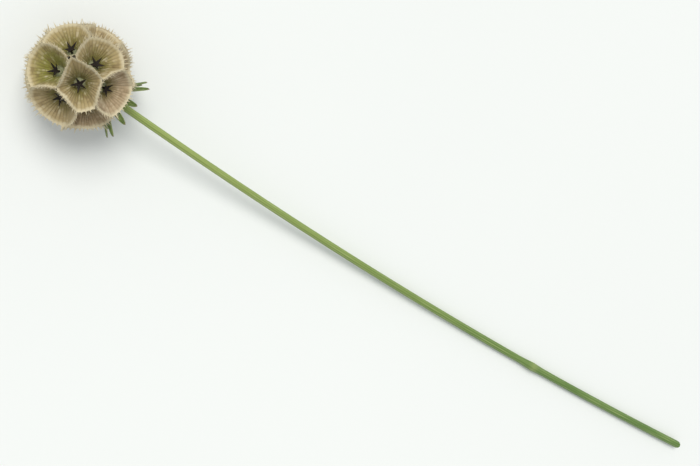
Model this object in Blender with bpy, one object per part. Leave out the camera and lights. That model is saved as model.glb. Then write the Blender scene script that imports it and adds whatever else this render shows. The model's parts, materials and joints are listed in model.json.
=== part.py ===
"""A cut stem of starflower scabiosa in its seed-head stage, lying on a flat surface.

The head is built in its own frame, in millimetres: its centre at the origin, its tip towards +Z and
the stem towards -Z. One of its papery cups faces straight down in the world, and the head rests on it.
"""

import math
import random

import bmesh
import bpy
from mathutils import Matrix, Vector

MM = 0.001
SEED = 7

# Overall
OVERALL_LENGTH = 400.0
STEM_DROP = math.radians(8.0)
HEAD_HEIGHT = 21.0

# Cups: how many, and how they push each other over the head; distances are on a ball of radius 1
CUP_COUNT = 22
FARTHEST_CUP = math.radians(132.0)
STEM_CONE = math.radians(30.0)
TIP_CUP_WEIGHT = 0.975
TIP_CUP_PUSH = 0.8
STEM_PUSH = 2.5
PUSH_POWER = 6
CUP_SPACING = 0.78
RELAX_STEPS = 400
RELAX_RATE = 0.02
RELAX_COOLING = 0.8
LONGEST_MOVE = 0.05

# One cup: a pleated funnel on a short tube, as distances from its axis and heights along it
RIBS = 16
WALL = 0.65
CUP_GAP = 0.15
TUBE_ROOT = (1.7, 8.4)
NECK = (2.05, 12.0)
FLOOR = (1.25, 12.8)
WAIST = (4.9, 15.9)
RIM = (10.6, 20.4)
RIM_RISE = 0.3
WAIST_PLEAT = 0.3
RIM_PLEAT = 0.4
RIM_TOOTH = 0.8

# The star of bristles in a cup, and the bud in the young cup at the tip
STAR_ARMS = 5
STAR_REACH = 3.7
STAR_NOTCH = 0.85
STAR_HEIGHT = 15.0
STAR_LIFT = 1.5
STAR_CROWN = 0.3
STAR_KEEL = 0.75
STALK_RADIUS = 0.55
STALK_ROOT = 12.4
BUD_RADIUS = 0.9
BUD_HEIGHT = 14.2
BUD_SHOULDER = 13.7
BUD_SIDES = 8

# The receptacle that the cups stand on, and its hole for the stem
CORE_RADIUS = 9.5
CORE_BASE = 8.9
PEG_CLEARANCE = 0.3
PEG_TOP = 5.4
HOLE_TOP = 5.0
HOLE_SIDES = 16

# Involucre: a collar round the stem and a whorl of pointed bracts
COLLAR_TOP = 9.2
COLLAR_BOTTOM = 12.6
COLLAR_RADIUS = 3.5
COLLAR_WAIST = (3.3, 10.5)
COLLAR_FOOT = 2.4
COLLAR_SIDES = 20
BRACT_COUNT = 10
BRACT_ROOT = (2.7, 10.1)
BRACT_BEND = (8.0, 18.8)
BRACT_TIP = (15.2, 24.2)
BRACT_WIDTH = 3.3
BRACT_ROOT_SHARE = 0.41
BRACT_SWELL = 1.56
BRACT_TIP_WIDTH = 0.44
BRACT_THICKNESS = 0.7
BRACT_FOLD = 0.35
BRACT_STATIONS = 7
BRACT_VARIATION = 0.12
BRACT_JITTER = 0.12

# Stem
STEM_TOP_RADIUS = 1.6
STEM_END_RADIUS = 2.05
STEM_SIDES = 14
STEM_RINGS = 44
STEM_BOW = 26.0
STEM_JOINT_PLACE = 0.72
STEM_JOINT_SWELL = 0.35
STEM_JOINT_SPAN = 5.0
STEM_JOINT_RINGS = (-1.5, -1.0, -0.5, 0.0, 0.5, 1.0, 1.5)
HEADING_STEP = 0.5
CUT_SLANT = math.radians(32.0)

PAPER_TAN = (0.40, 0.31, 0.20, 1.0)
BRACT_GREEN = (0.12, 0.22, 0.05, 1.0)
STEM_GREEN = (0.26, 0.38, 0.11, 1.0)


def clear_scene():
    for item in list(bpy.data.objects):
        bpy.data.objects.remove(item, do_unlink=True)


def material(name, colour, roughness):
    mat = bpy.data.materials.new(name)
    mat.use_nodes = True
    shader = mat.node_tree.nodes["Principled BSDF"]
    shader.inputs["Base Color"].default_value = colour
    shader.inputs["Roughness"].default_value = roughness
    shader.inputs["Metallic"].default_value = 0.0
    return mat


def mesh_object(name, points, faces, collection=None):
    """An object from points in millimetres, with its faces turned outwards."""
    mesh = bpy.data.meshes.new(name)
    mesh.from_pydata([Vector(point) * MM for point in points], [], faces)
    build = bmesh.new()
    build.from_mesh(mesh)
    bmesh.ops.recalc_face_normals(build, faces=build.faces)
    bmesh.ops.triangulate(build, faces=build.faces)
    build.to_mesh(mesh)
    build.free()
    item = bpy.data.objects.new(name, mesh)
    (collection or bpy.context.scene.collection).objects.link(item)
    return item


def on_sphere(polar, azimuth):
    return Vector((
        math.sin(polar) * math.cos(azimuth),
        math.sin(polar) * math.sin(azimuth),
        math.cos(polar),
    ))


REST_AXIS = on_sphere(math.pi / 2 + STEM_DROP, 0.0)
STEM_SIDE = Vector((0, 0, -1))


def cup_axes():
    """The cups' directions: a sunflower spiral, whose points push each other to an even spacing.

    The cup at the tip and the one that the head rests on stay in place. Returns the axes with the
    tip cup first, and the index of the cup that the head rests on.
    """
    golden = math.pi * (3 - math.sqrt(5))
    axes = []
    for index in range(CUP_COUNT):
        height = 1 - (1 - math.cos(FARTHEST_CUP)) * (index + 0.5) / CUP_COUNT
        axes.append(on_sphere(math.acos(height), index * golden))
    rest = max(range(CUP_COUNT), key=lambda index: axes[index].dot(REST_AXIS))
    axes[0] = -STEM_SIDE
    axes[rest] = REST_AXIS.copy()
    for step in range(RELAX_STEPS):
        rate = RELAX_RATE * (1 - RELAX_COOLING * step / RELAX_STEPS)
        axes = [
            axis if index in (0, rest) else (axis + pushed_move(axes, index, rate)).normalized()
            for index, axis in enumerate(axes)
        ]
    return axes, rest


def pushed_move(axes, index, rate):
    """One cup's small move over the head, under the push of the stem and of all the other cups."""
    axis = axes[index]
    move = push_apart(axis, STEM_SIDE, STEM_PUSH)
    for other, neighbour in enumerate(axes):
        if other != index:
            move += push_apart(axis, neighbour, TIP_CUP_PUSH if other == 0 else 1.0)
    move = (move - axis * move.dot(axis)) * rate
    return move * min(1.0, LONGEST_MOVE / max(move.length, 1e-9))


def push_apart(axis, neighbour, strength):
    away = axis - neighbour
    return away.normalized() * strength * (CUP_SPACING / away.length) ** PUSH_POWER


def cell_planes(axes, index):
    """Normals of the planes through the head's centre that bound one cup's share of the head."""
    weights = [TIP_CUP_WEIGHT] + [1.0] * (CUP_COUNT - 1)
    own = axes[index] * weights[index]
    planes = [own - axes[other] * weights[other] for other in range(CUP_COUNT) if other != index]
    axis = axes[index]
    if axis.z < 0:
        azimuth = math.atan2(axis.y, axis.x)
        edge = on_sphere(math.pi - STEM_CONE, azimuth)
        along = Vector((-math.sin(azimuth), math.cos(azimuth), 0))
        normal = edge.cross(along)
        planes.append(normal if normal.dot(axis) > 0 else -normal)
    return planes


def cell_slope(axis, tangent, planes):
    """How far the cup may reach sideways along tangent, for each unit of height."""
    slopes = [-axis.dot(plane) / tangent.dot(plane) for plane in planes if tangent.dot(plane) < -1e-6]
    return min(slopes)


def axis_frame(axis):
    side = Vector((0, 0, 1)).cross(axis)
    side = side.normalized() if side.length > 1e-6 else Vector((1, 0, 0))
    return side, axis.cross(side)


def flattened(point):
    """A point of the head, pressed back to the surface that the head rests on."""
    below = point.dot(REST_AXIS) - HEAD_HEIGHT
    return point - REST_AXIS * max(below, 0.0)


def cup_wall(axis, planes, rests):
    """Outer and inner points of the funnel's waist and rim, column by column, ribs at even columns."""
    side, across = axis_frame(axis)
    clearance = (WALL + CUP_GAP) / 2
    slant = math.atan2(RIM[1] - WAIST[1], RIM[0] - WAIST[0])
    half_wall = (WALL / 2 * math.sin(slant), WALL / 2 * math.cos(slant))
    rings = {"outer waist": [], "outer rim": [], "inner waist": [], "inner rim": []}
    for column in range(2 * RIBS):
        angle = math.pi * column / RIBS
        tangent = side * math.cos(angle) + across * math.sin(angle)
        slope = cell_slope(axis, tangent, planes)
        hollow = column % 2
        for name, (reach, height), pleat in (("waist", WAIST, WAIST_PLEAT), ("rim", RIM, RIM_PLEAT)):
            held = min(reach, height * slope - clearance)
            if name == "rim":
                height += RIM_RISE * (reach - held) - RIM_TOOTH * hollow
            if name == "rim" and rests:
                height = HEAD_HEIGHT
            held -= pleat * hollow
            for skin, sign in (("outer", 1), ("inner", -1)):
                offset = tangent * (held + sign * half_wall[0])
                lift = axis * (height - sign * half_wall[1])
                if name == "rim" and rests:
                    lift = axis * height
                rings[f"{skin} {name}"].append(flattened(offset + lift))
    return rings


def plain_ring(axis, place, count, phase=0.0):
    side, across = axis_frame(axis)
    reach, height = place
    ring = []
    for step in range(count):
        angle = 2 * math.pi * step / count + phase
        ring.append(axis * height + (side * math.cos(angle) + across * math.sin(angle)) * reach)
    return ring


def band(lower, upper):
    """Triangles between two rings of indices, where the upper ring has as many or twice as many."""
    faces = []
    count = len(lower)
    if len(upper) == count:
        for step in range(count):
            after = (step + 1) % count
            faces.append((lower[step], lower[after], upper[after]))
            faces.append((lower[step], upper[after], upper[step]))
        return faces
    for step in range(count):
        after = (step + 1) % count
        rib, hollow, next_rib = upper[2 * step], upper[2 * step + 1], upper[2 * after]
        faces.append((lower[step], hollow, rib))
        faces.append((lower[step], lower[after], hollow))
        faces.append((lower[after], next_rib, hollow))
    return faces


def cup_object(name, axis, planes, rests, collection):
    """One papery cup as a closed solid: tube, pleated funnel outside and inside, and its floor."""
    wall = cup_wall(axis, planes, rests)
    rings = [
        plain_ring(axis, TUBE_ROOT, RIBS),
        plain_ring(axis, NECK, RIBS),
        wall["outer waist"],
        wall["outer rim"],
        wall["inner rim"],
        wall["inner waist"],
        plain_ring(axis, FLOOR, RIBS),
    ]
    points = []
    numbers = []
    for ring in rings:
        numbers.append(list(range(len(points), len(points) + len(ring))))
        points.extend(ring)
    root, neck, waist, rim, inner_rim, inner_waist, floor = numbers
    faces = band(root, neck) + band(neck, waist) + band(waist, rim) + band(rim, inner_rim)
    faces += band(inner_waist, inner_rim) + band(floor, inner_waist)
    faces.append(tuple(reversed(root)))
    faces.append(tuple(floor))
    return mesh_object(name, points, faces, collection)


def star_object(name, axis, collection):
    """Five pointed bristles that spread from the top of a stalk on the cup's floor."""
    phase = random_turn(name)
    half_step = math.pi / STAR_ARMS
    top = [axis * (STAR_HEIGHT + STAR_CROWN)]
    tips = plain_ring(axis, (STAR_REACH, STAR_HEIGHT + STAR_LIFT), STAR_ARMS, phase)
    notches = plain_ring(axis, (STAR_NOTCH, STAR_HEIGHT), STAR_ARMS, phase + half_step)
    keel = plain_ring(axis, (STALK_RADIUS, STAR_HEIGHT - STAR_KEEL), STAR_ARMS, phase + half_step)
    foot = plain_ring(axis, (STALK_RADIUS, STALK_ROOT), STAR_ARMS, phase + half_step)
    points = top + tips + notches + keel + foot
    tip, notch, low, base = (1 + group * STAR_ARMS for group in range(4))
    faces = [tuple(base + arm for arm in range(STAR_ARMS))]
    for arm in range(STAR_ARMS):
        before = (arm - 1) % STAR_ARMS
        faces.append((0, tip + arm, notch + arm))
        faces.append((0, notch + before, tip + arm))
        faces.append((tip + arm, low + arm, notch + arm))
        faces.append((tip + arm, low + before, low + arm))
        faces.append((tip + arm, notch + before, low + before))
        faces.append((low + before, low + arm, base + arm, base + before))
    return mesh_object(name, points, faces, collection)


def bud_object(name, axis, collection):
    """The closed green bud in the young cup at the tip of the head."""
    lower_ring = plain_ring(axis, (BUD_RADIUS, STALK_ROOT), BUD_SIDES)
    upper_ring = plain_ring(axis, (BUD_RADIUS, BUD_SHOULDER), BUD_SIDES)
    points = lower_ring + upper_ring + [axis * BUD_HEIGHT]
    lower = list(range(BUD_SIDES))
    upper = list(range(BUD_SIDES, 2 * BUD_SIDES))
    peak = 2 * BUD_SIDES
    faces = band(lower, upper) + [tuple(lower)]
    faces += [(upper[step], upper[(step + 1) % BUD_SIDES], peak) for step in range(BUD_SIDES)]
    return mesh_object(name, points, faces, collection)


def random_turn(name):
    return random.Random(f"{SEED} {name}").uniform(0, 2 * math.pi)


def core_object():
    """The receptacle: a ball cut flat where the stem enters it."""
    mesh = bpy.data.meshes.new("seed_head")
    build = bmesh.new()
    bmesh.ops.create_icosphere(build, subdivisions=2, radius=CORE_RADIUS * MM)
    everything = build.verts[:] + build.edges[:] + build.faces[:]
    base = Vector((0, 0, -CORE_BASE * MM))
    cut = bmesh.ops.bisect_plane(
        build, geom=everything, plane_co=base, plane_no=Vector((0, 0, -1)), clear_outer=True
    )
    edges = [piece for piece in cut["geom_cut"] if isinstance(piece, bmesh.types.BMEdge)]
    bmesh.ops.edgeloop_fill(build, edges=edges)
    bmesh.ops.recalc_face_normals(build, faces=build.faces)
    build.to_mesh(mesh)
    build.free()
    item = bpy.data.objects.new("seed_head", mesh)
    bpy.context.scene.collection.objects.link(item)
    return item


def join(base, collection, operation="UNION"):
    """Joins a collection's objects to base, or cuts them out of it, and removes them."""
    boolean = base.modifiers.new("join", "BOOLEAN")
    boolean.operand_type = "COLLECTION"
    boolean.collection = collection
    boolean.operation = operation
    boolean.solver = "EXACT"
    bpy.context.view_layer.update()
    evaluated = base.evaluated_get(bpy.context.evaluated_depsgraph_get())
    joined = bpy.data.meshes.new_from_object(evaluated)
    base.modifiers.clear()
    plain = base.data
    base.data = joined
    bpy.data.meshes.remove(plain)
    joined.name = base.name
    for item in list(collection.objects):
        bpy.data.objects.remove(item, do_unlink=True)
    bpy.data.collections.remove(collection)


def new_collection(name):
    collection = bpy.data.collections.new(name)
    bpy.context.scene.collection.children.link(collection)
    return collection


def stem_hole_object(name, collection):
    """The plain hole in the receptacle that the stem's end stands in, run out past its flat base."""
    radius = STEM_TOP_RADIUS + PEG_CLEARANCE
    outer_end = plain_ring(STEM_SIDE, (radius, COLLAR_TOP), HOLE_SIDES)
    inner_end = plain_ring(STEM_SIDE, (radius, HOLE_TOP), HOLE_SIDES)
    outer = list(range(HOLE_SIDES))
    inner = list(range(HOLE_SIDES, 2 * HOLE_SIDES))
    faces = band(outer, inner) + [tuple(outer), tuple(inner)]
    return mesh_object(name, outer_end + inner_end, faces, collection)


def make_seed_head():
    axes, rest = cup_axes()
    head = core_object()
    cups = new_collection("cups")
    for index, axis in enumerate(axes):
        cup_object(f"cup {index}", axis, cell_planes(axes, index), index == rest, cups)
    join(head, cups)
    stars = new_collection("stars")
    bud_object("bud", axes[0], stars)
    for index, axis in enumerate(axes[1:], start=1):
        star_object(f"star {index}", axis, stars)
    join(head, stars)
    hole = new_collection("hole")
    stem_hole_object("stem hole", hole)
    join(head, hole, "DIFFERENCE")
    return head


def bract_object(name, azimuth, scale, collection):
    """One lance-shaped bract: a thin blade folded along its midrib, bent out below the cups."""
    outward = Vector((math.cos(azimuth), math.sin(azimuth), 0))
    across = Vector((-math.sin(azimuth), math.cos(azimuth), 0))
    root, bend, tip = (Vector((place[0], -place[1])) for place in (BRACT_ROOT, BRACT_BEND, BRACT_TIP))
    tip = bend + (tip - bend) * scale
    points = []
    for station in range(BRACT_STATIONS):
        t = station / (BRACT_STATIONS - 1)
        place = root * (1 - t) ** 2 + bend * 2 * t * (1 - t) + tip * t ** 2
        heading = ((bend - root) * (1 - t) + (tip - bend) * t).normalized()
        normal = outward * -heading.y + Vector((0, 0, heading.x))
        share = (BRACT_ROOT_SHARE + BRACT_SWELL * t) * math.sqrt(1 - t)
        half_width = max(BRACT_WIDTH * share, BRACT_TIP_WIDTH) / 2
        middle = outward * place.x + Vector((0, 0, place.y))
        for part in (-1, 0, 1):
            fold = normal * (BRACT_FOLD * abs(part) * min(1.0, half_width))
            spot = middle + across * (part * half_width) + fold
            points.append(spot + normal * BRACT_THICKNESS / 2)
            points.append(spot - normal * BRACT_THICKNESS / 2)
    faces = []
    for station in range(BRACT_STATIONS - 1):
        here, after = 6 * station, 6 * (station + 1)
        loop = (0, 2, 4, 5, 3, 1)
        for step in range(6):
            low, high = loop[step], loop[(step + 1) % 6]
            faces.append((here + low, here + high, after + high, after + low))
    last = 6 * (BRACT_STATIONS - 1)
    faces.append((0, 1, 3, 2))
    faces.append((2, 3, 5, 4))
    faces.append((last, last + 1, last + 3, last + 2))
    faces.append((last + 2, last + 3, last + 5, last + 4))
    return mesh_object(name, points, faces, collection)


def make_involucre():
    hole = STEM_TOP_RADIUS + PEG_CLEARANCE
    profile = (
        (hole, COLLAR_TOP),
        (COLLAR_RADIUS, COLLAR_TOP),
        COLLAR_WAIST,
        (COLLAR_FOOT, COLLAR_BOTTOM),
        (hole, COLLAR_BOTTOM),
    )
    points = []
    for place in profile:
        points.extend(plain_ring(STEM_SIDE, place, COLLAR_SIDES))
    rings = [list(range(level * COLLAR_SIDES, (level + 1) * COLLAR_SIDES)) for level in range(len(profile))]
    faces = []
    for level, ring in enumerate(rings):
        faces += band(ring, rings[(level + 1) % len(rings)])
    collar = mesh_object("involucre", points, faces)
    bracts = new_collection("bracts")
    chance = random.Random(SEED)
    for index in range(BRACT_COUNT):
        place = index + 0.5 + chance.uniform(-BRACT_JITTER, BRACT_JITTER)
        scale = 1 + chance.uniform(-BRACT_VARIATION, BRACT_VARIATION)
        bract_object(f"bract {index}", 2 * math.pi * place / BRACT_COUNT, scale, bracts)
    join(collar, bracts)
    return collar


def stem_radius(distance, length):
    share = distance / length
    radius = STEM_TOP_RADIUS + (STEM_END_RADIUS - STEM_TOP_RADIUS) * share
    from_joint = (distance - STEM_JOINT_PLACE * length) / STEM_JOINT_SPAN
    return radius + STEM_JOINT_SWELL * math.exp(-from_joint ** 2)


def stem_centre(distance, length):
    """The stem's centre line: it comes down from the head and then lies along the surface."""
    touch = 2 * (HEAD_HEIGHT - STEM_END_RADIUS) / math.tan(STEM_DROP)
    left = max(touch - distance, 0.0)
    height = stem_radius(distance, length) * (1 - left / touch)
    height += STEM_END_RADIUS * left / touch
    height += math.tan(STEM_DROP) / (2 * touch) * left ** 2
    return Vector((distance, STEM_BOW * (distance / length) ** 2, height))


def make_stem():
    head_reach = math.hypot(RIM[0], RIM[1])
    length = OVERALL_LENGTH - head_reach
    start = PEG_TOP * math.cos(STEM_DROP)
    joint = STEM_JOINT_PLACE * length
    places = [start + (length - start) * ring / (STEM_RINGS - 1) for ring in range(STEM_RINGS)]
    places += [joint + STEM_JOINT_SPAN * step for step in STEM_JOINT_RINGS]
    places.sort()
    points = []
    for place in places:
        centre = stem_centre(place, length)
        ahead = stem_centre(place + HEADING_STEP, length)
        heading = (ahead - stem_centre(place - HEADING_STEP, length)).normalized()
        side = heading.cross(Vector((0, 0, 1))).normalized()
        up = side.cross(heading)
        radius = stem_radius(place, length)
        for corner in range(STEM_SIDES):
            angle = 2 * math.pi * corner / STEM_SIDES
            spot = (side * math.sin(angle) - up * math.cos(angle)) * radius
            if place == length:
                spot += heading * spot.dot(up) * math.tan(CUT_SLANT)
            points.append(centre + spot)
    rings = [list(range(level * STEM_SIDES, (level + 1) * STEM_SIDES)) for level in range(len(places))]
    faces = [tuple(rings[0]), tuple(rings[-1])]
    for level in range(len(rings) - 1):
        faces += band(rings[level], rings[level + 1])
    return mesh_object("stem", points, faces)


def head_turn():
    """Turns the head's frame so that its stem side points along +X and down, and one cup faces down."""
    tip = Vector((-math.cos(STEM_DROP), 0, math.sin(STEM_DROP)))
    down = Vector((-math.sin(STEM_DROP), 0, -math.cos(STEM_DROP)))
    across = tip.cross(down)
    return Matrix((down, across, tip)).transposed().to_4x4()


def centre_on_footprint(root, pieces):
    """Moves the whole flower so that its footprint is centred on the origin, with its lowest point at 0."""
    bpy.context.view_layer.update()
    corners = [piece.matrix_world @ vertex.co for piece in pieces for vertex in piece.data.vertices]
    low = Vector(min(corner[axis] for corner in corners) for axis in range(3))
    high = Vector(max(corner[axis] for corner in corners) for axis in range(3))
    root.location = Vector((-(low.x + high.x) / 2, -(low.y + high.y) / 2, -low.z))


def main():
    clear_scene()
    root = bpy.data.objects.new("flower", None)
    head_frame = bpy.data.objects.new("head_frame", None)
    for empty in (root, head_frame):
        bpy.context.scene.collection.objects.link(empty)
    head_frame.parent = root
    head_frame.location = Vector((0, 0, HEAD_HEIGHT * MM))
    head_frame.rotation_euler = head_turn().to_euler()

    head = make_seed_head()
    involucre = make_involucre()
    stem = make_stem()
    head.parent = head_frame
    involucre.parent = head_frame
    stem.parent = root
    finishes = (
        (head, "papery cups", PAPER_TAN, 0.75),
        (involucre, "green bracts", BRACT_GREEN, 0.6),
        (stem, "green stem", STEM_GREEN, 0.55),
    )
    for piece, name, colour, roughness in finishes:
        piece.data.materials.clear()
        piece.data.materials.append(material(name, colour, roughness))
    stem.data.shade_smooth()
    stem.data.set_sharp_from_angle(angle=math.radians(40))
    centre_on_footprint(root, (head, involucre, stem))


main()
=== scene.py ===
"""The looks of a cut starflower scabiosa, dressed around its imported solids.

The head has a frame of its own: its centre at the origin, its tip towards +Z and the stem towards -Z.
A cup is drawn up from a circle as a plain funnel, and each copy of it is pressed into its own cell.
"""

import json
import random
from math import acos, atan2, copysign, cos, exp, hypot, pi, radians, sin, sqrt, tan, tau

import bpy
from mathutils import Matrix, Vector, noise

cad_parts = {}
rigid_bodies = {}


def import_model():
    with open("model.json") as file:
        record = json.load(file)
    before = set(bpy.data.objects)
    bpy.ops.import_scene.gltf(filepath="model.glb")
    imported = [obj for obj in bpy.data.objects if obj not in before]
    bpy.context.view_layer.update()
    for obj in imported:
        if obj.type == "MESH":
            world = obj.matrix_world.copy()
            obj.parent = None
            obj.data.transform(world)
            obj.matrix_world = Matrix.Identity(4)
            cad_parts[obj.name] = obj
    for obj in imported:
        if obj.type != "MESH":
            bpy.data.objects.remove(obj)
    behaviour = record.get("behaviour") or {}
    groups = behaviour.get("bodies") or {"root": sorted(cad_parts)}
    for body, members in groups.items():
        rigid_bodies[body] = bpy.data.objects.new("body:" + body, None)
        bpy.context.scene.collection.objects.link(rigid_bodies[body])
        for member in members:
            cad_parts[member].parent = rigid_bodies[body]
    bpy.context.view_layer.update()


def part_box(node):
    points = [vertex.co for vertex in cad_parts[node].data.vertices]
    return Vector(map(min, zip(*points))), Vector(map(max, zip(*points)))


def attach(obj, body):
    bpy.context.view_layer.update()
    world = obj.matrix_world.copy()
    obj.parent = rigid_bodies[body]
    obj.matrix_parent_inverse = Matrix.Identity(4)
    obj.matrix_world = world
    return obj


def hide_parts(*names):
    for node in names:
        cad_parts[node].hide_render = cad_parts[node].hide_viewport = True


bl_info = {
    "name": "Scabiosa flower",
    "version": (1, 0, 0),
    "blender": (4, 5, 0),
    "location": "3D View > Sidebar > Scabiosa",
    "description": "Models the papery cups, dark stars, bracts and ribbed stem of a starflower scabiosa",
    "category": "Add Mesh",
}

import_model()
STEM_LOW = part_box("stem")[0]

MM = 0.001
SEED = 7

# Where the head is, from the near end of the stem's box
STEM_DROP = radians(8.0)
HEAD_HEIGHT = 21.0 * MM
HEAD_BEFORE_STEM = 5.125 * MM
HEAD_BESIDE_STEM = 1.561 * MM
HEAD_CENTRE = Vector((STEM_LOW.x - HEAD_BEFORE_STEM, STEM_LOW.y + HEAD_BESIDE_STEM, HEAD_HEIGHT))
FLOOR_GAP = 0.02 * MM

# How the cups push each other over the head, on a ball of radius 1
CUP_COUNT = 22
FARTHEST_CUP = radians(132.0)
STEM_CONE = radians(30.0)
TIP_CUP_WEIGHT = 0.975
TIP_CUP_PUSH = 0.8
STEM_PUSH = 2.5
PUSH_POWER = 6
CUP_SPACING = 0.78
RELAX_STEPS = 400
RELAX_RATE = 0.02
RELAX_COOLING = 0.8
LONGEST_MOVE = 0.05

# A cup's age, from 0 at the tip of the head to 1 beside the stem, with its own chance
AGE_CHANCE = 0.22
YOUNG_AGE = -0.6

# One cup's wall, as distances from its axis and heights along it
NECK = (1.5 * MM, 12.05 * MM)
THROAT_PULL = (3.9 * MM, 14.3 * MM)
RIM = (10.6 * MM, 20.4 * MM)
RIM_BALL = 22.75 * MM
WIDEST = 12.6 * MM
LIP_REACH = 1.9 * MM
LIP_DROP = 2.1 * MM
CELL_GAP = -0.03 * MM
CORNER_POWER = 20
LEAST_LEAN = 0.1
RIM_WAVE = 0.42 * MM
RIM_WAVES = (2, 3, 5)
RIM_ROUNDS = 3
PROUDEST = 0.5 * MM
TOPMOST_PROUD = 0.125 * MM
OVERLAP = 2.2
LEAST_BULGE = 0.7 * MM
HALF_SIDE = 7.5 * MM
WALL_ROWS = 16
PLEAT_BELLY = 3.6
PLEAT_AT_MARGIN = 0.15
MARGIN_NOTCH = 0.7
RIB_PHASES = (0.0, 0.15, 0.5, 0.85)
RIB_CREST = (1.0, 0.3, 0.0, 0.3)
BRISTLE_SHARES = (0.45, 1.2)
BRISTLE_POWER = 1.5
BRISTLE_CHANCES = (1, 1, 1.5)
BETWEEN_BRISTLES = 0.05 * MM

# The tube below each cup
TUBE_SIDES = 32
TUBE_FURROWS = 8
TUBE_FURROW_DEPTH = 0.16
TUBE_PROFILE = ((1.7, 8.4), (1.62, 9.6), (1.75, 10.8), (2.0, 11.9), (1.96, 12.5), (1.1, 12.7))

# One star: its disc and stalk, then its arms
STAR_SIDES = 15
STAR_ARMS = 5
STAR_PROFILE = ((0.5, -2.6), (0.42, -1.2), (0.7, -0.35), (1.15, 0.0), (0.8, 0.245), (0.2, 0.35))
ARM_SIDES = 6
ARM_PROFILE = ((0.8, 0.0), (0.8, 0.15), (0.62, 0.4), (0.38, 0.7), (0.08, 1.0))
ARM_FLATNESS = 0.5
ARM_CURVE = 1.4
STAR_SCALES = (0.88, 1.08)
STAR_TILT = 0.16
ARM_SCALES = (0.85, 1.1)
ARM_LIFTS = (0.6, 1.3)
ARM_START = 1.5 * MM
ARM_RISE = 0.4 * MM

# Receptacle with its hole for the stem
CORE_RADIUS = 9.5 * MM
CORE_BASE = 8.9 * MM
CORE_ROUGH = 0.25 * MM
CORE_LUMPS = (1.1 * MM, 0.5 * MM)
HOLE_RADIUS = 1.9 * MM
HOLE_TOP = 5.0 * MM
HOLE_SIDES = 32

# Hairs and scales: how many a cup, bract or stem has, their shortest and longest in millimetres, and
# their width; then where they grow
TUBE_HAIRS = (64, (1.1, 2.0), 0.07 * MM)
THROAT_HAIRS = (110, (1.2, 2.1), 0.1 * MM)
RIM_HAIRS = (120, (0.8, 2.3), 0.06 * MM)
CORE_SCALES = (7, (2.6, 3.8), 0.62 * MM)
BRACT_HAIRS = (70, (0.5, 0.9), 0.05 * MM)
STEM_HAIRS = (1500, (0.35, 0.8), 0.05 * MM)
TUBE_HAIR_HEIGHTS = (9.0, 12.6)
TUBE_HAIR_REACH = 1.5 * MM
THROAT_HEIGHT = 12.6 * MM
THROAT_REACHES = (1.0, 2.0)
SCALE_HEIGHT = 8.6 * MM
SCALE_REACHES = (2.2, 2.7)
STEM_HAIRS_START = 13.5
STEM_HAIRS_END = 2.5
STEM_HAIRS_CROWDING = 2.2

# The two shades of each kind of hair and scale, and of the receptacle
TUBE_DOWN = ((0.62, 0.64, 0.50, 1), (0.74, 0.72, 0.60, 1))
PALEST_THROAT = (0.60, 0.64, 0.46, 1)
RIM_DOWN = ((0.70, 0.62, 0.44, 1), (0.78, 0.76, 0.62, 1))
GREEN_DOWN = ((0.50, 0.56, 0.36, 1), (0.66, 0.68, 0.54, 1))
SCALE_STRAW = (0.34, 0.30, 0.14, 1)
CORE_SHADES = ((0.16, 0.17, 0.07, 1), (0.30, 0.25, 0.13, 1))

# The bud of the tip cup, in millimetres
BUD_SIDES = 30
BUD_CORNERS = 5
BUD_CORNER_DEPTH = 0.08
BUD_PROFILE = ((0.7, 12.4), (0.9, 13.0), (0.95, 13.6), (0.75, 14.2), (0.3, 14.6), (0.08, 14.7))

# Collar and bracts, in millimetres outwards from the stem and down from the head's centre
COLLAR_SIDES = 60
COLLAR_PROFILE = (
    (1.9, 9.2), (3.5, 9.2), (3.55, 9.8), (3.3, 10.5), (2.8, 11.7), (2.4, 12.5), (1.9, 12.6), (1.9, 9.2)
)
COLLAR_RIBS = 10
COLLAR_RIB_HEIGHT = 0.04
COLLAR_BORE = 2.2 * MM
BRACT_COUNT = 10
BRACT_ROOT = (2.7, 10.1)
BRACT_BEND = (8.0, 18.8)
BRACT_TIP = (15.2, 24.2)
BRACT_ROOT_SHARE = 0.41
BRACT_SWELL = 1.56
BRACT_VARIATION = 0.12
BRACT_JITTER = 0.12
BRACT_GRID = (12, 30)
BRACT_LEAST_WIDTH = 0.06 * MM
BRACT_FOLD = 0.3
BRACT_RIPPLE = 0.14 * MM
BRACT_RIPPLES = 14
BRACT_MIDRIB = 0.12 * MM
BRACT_MIDRIB_SHARE = 0.12
BRACT_TIP_BROWN = (0.19, 0.12, 0.06, 1)

# Stem, along its line from the head's centre, in millimetres
OVERALL_LENGTH = 400.0
STEM_LENGTH = OVERALL_LENGTH - hypot(*RIM) / MM
STEM_SIDES = 80
STEM_RINGS = 200
STEM_RIBS = 10
STEM_RIB_DEPTH = 0.08
STEM_TWIST = 0.8
PEG_TOP = 5.4
STEM_TOP_RADIUS = 1.6
STEM_END_RADIUS = 2.05
STEM_BOW = 26.0
STEM_JOINT_PLACE = 0.72
STEM_JOINT_SWELL = 0.35
STEM_JOINT_SPAN = 5.0
JOINT_RING_HEIGHT = 0.1
JOINT_RING_SPAN = 0.9
JOINT_PALE_SPAN = 2.2
CUT_SLANT = radians(32.0)

# The cut face: its skin's width, then how far each step inwards shrinks and sinks
CUT_SKIN = 0.24 * MM
CUT_HOLLOW = ((0.62, 0.0), (0.9, 0.5 * MM), (0.7, 1.3 * MM))

# Paler streaks of the stem, strongest on the rib crests where they are painted highlights; painted shade in
# the furrows; and its pale joint
PALE_STREAK_AND_HIGHLIGHT = (0.42, 0.50, 0.19, 1)
FURROW_SHADE = (0.07, 0.14, 0.025, 1)
JOINT_PALE = (0.30, 0.36, 0.12, 1)
STREAKS_ROUND = 4.7
STREAKS_ALONG = 4.2

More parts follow.
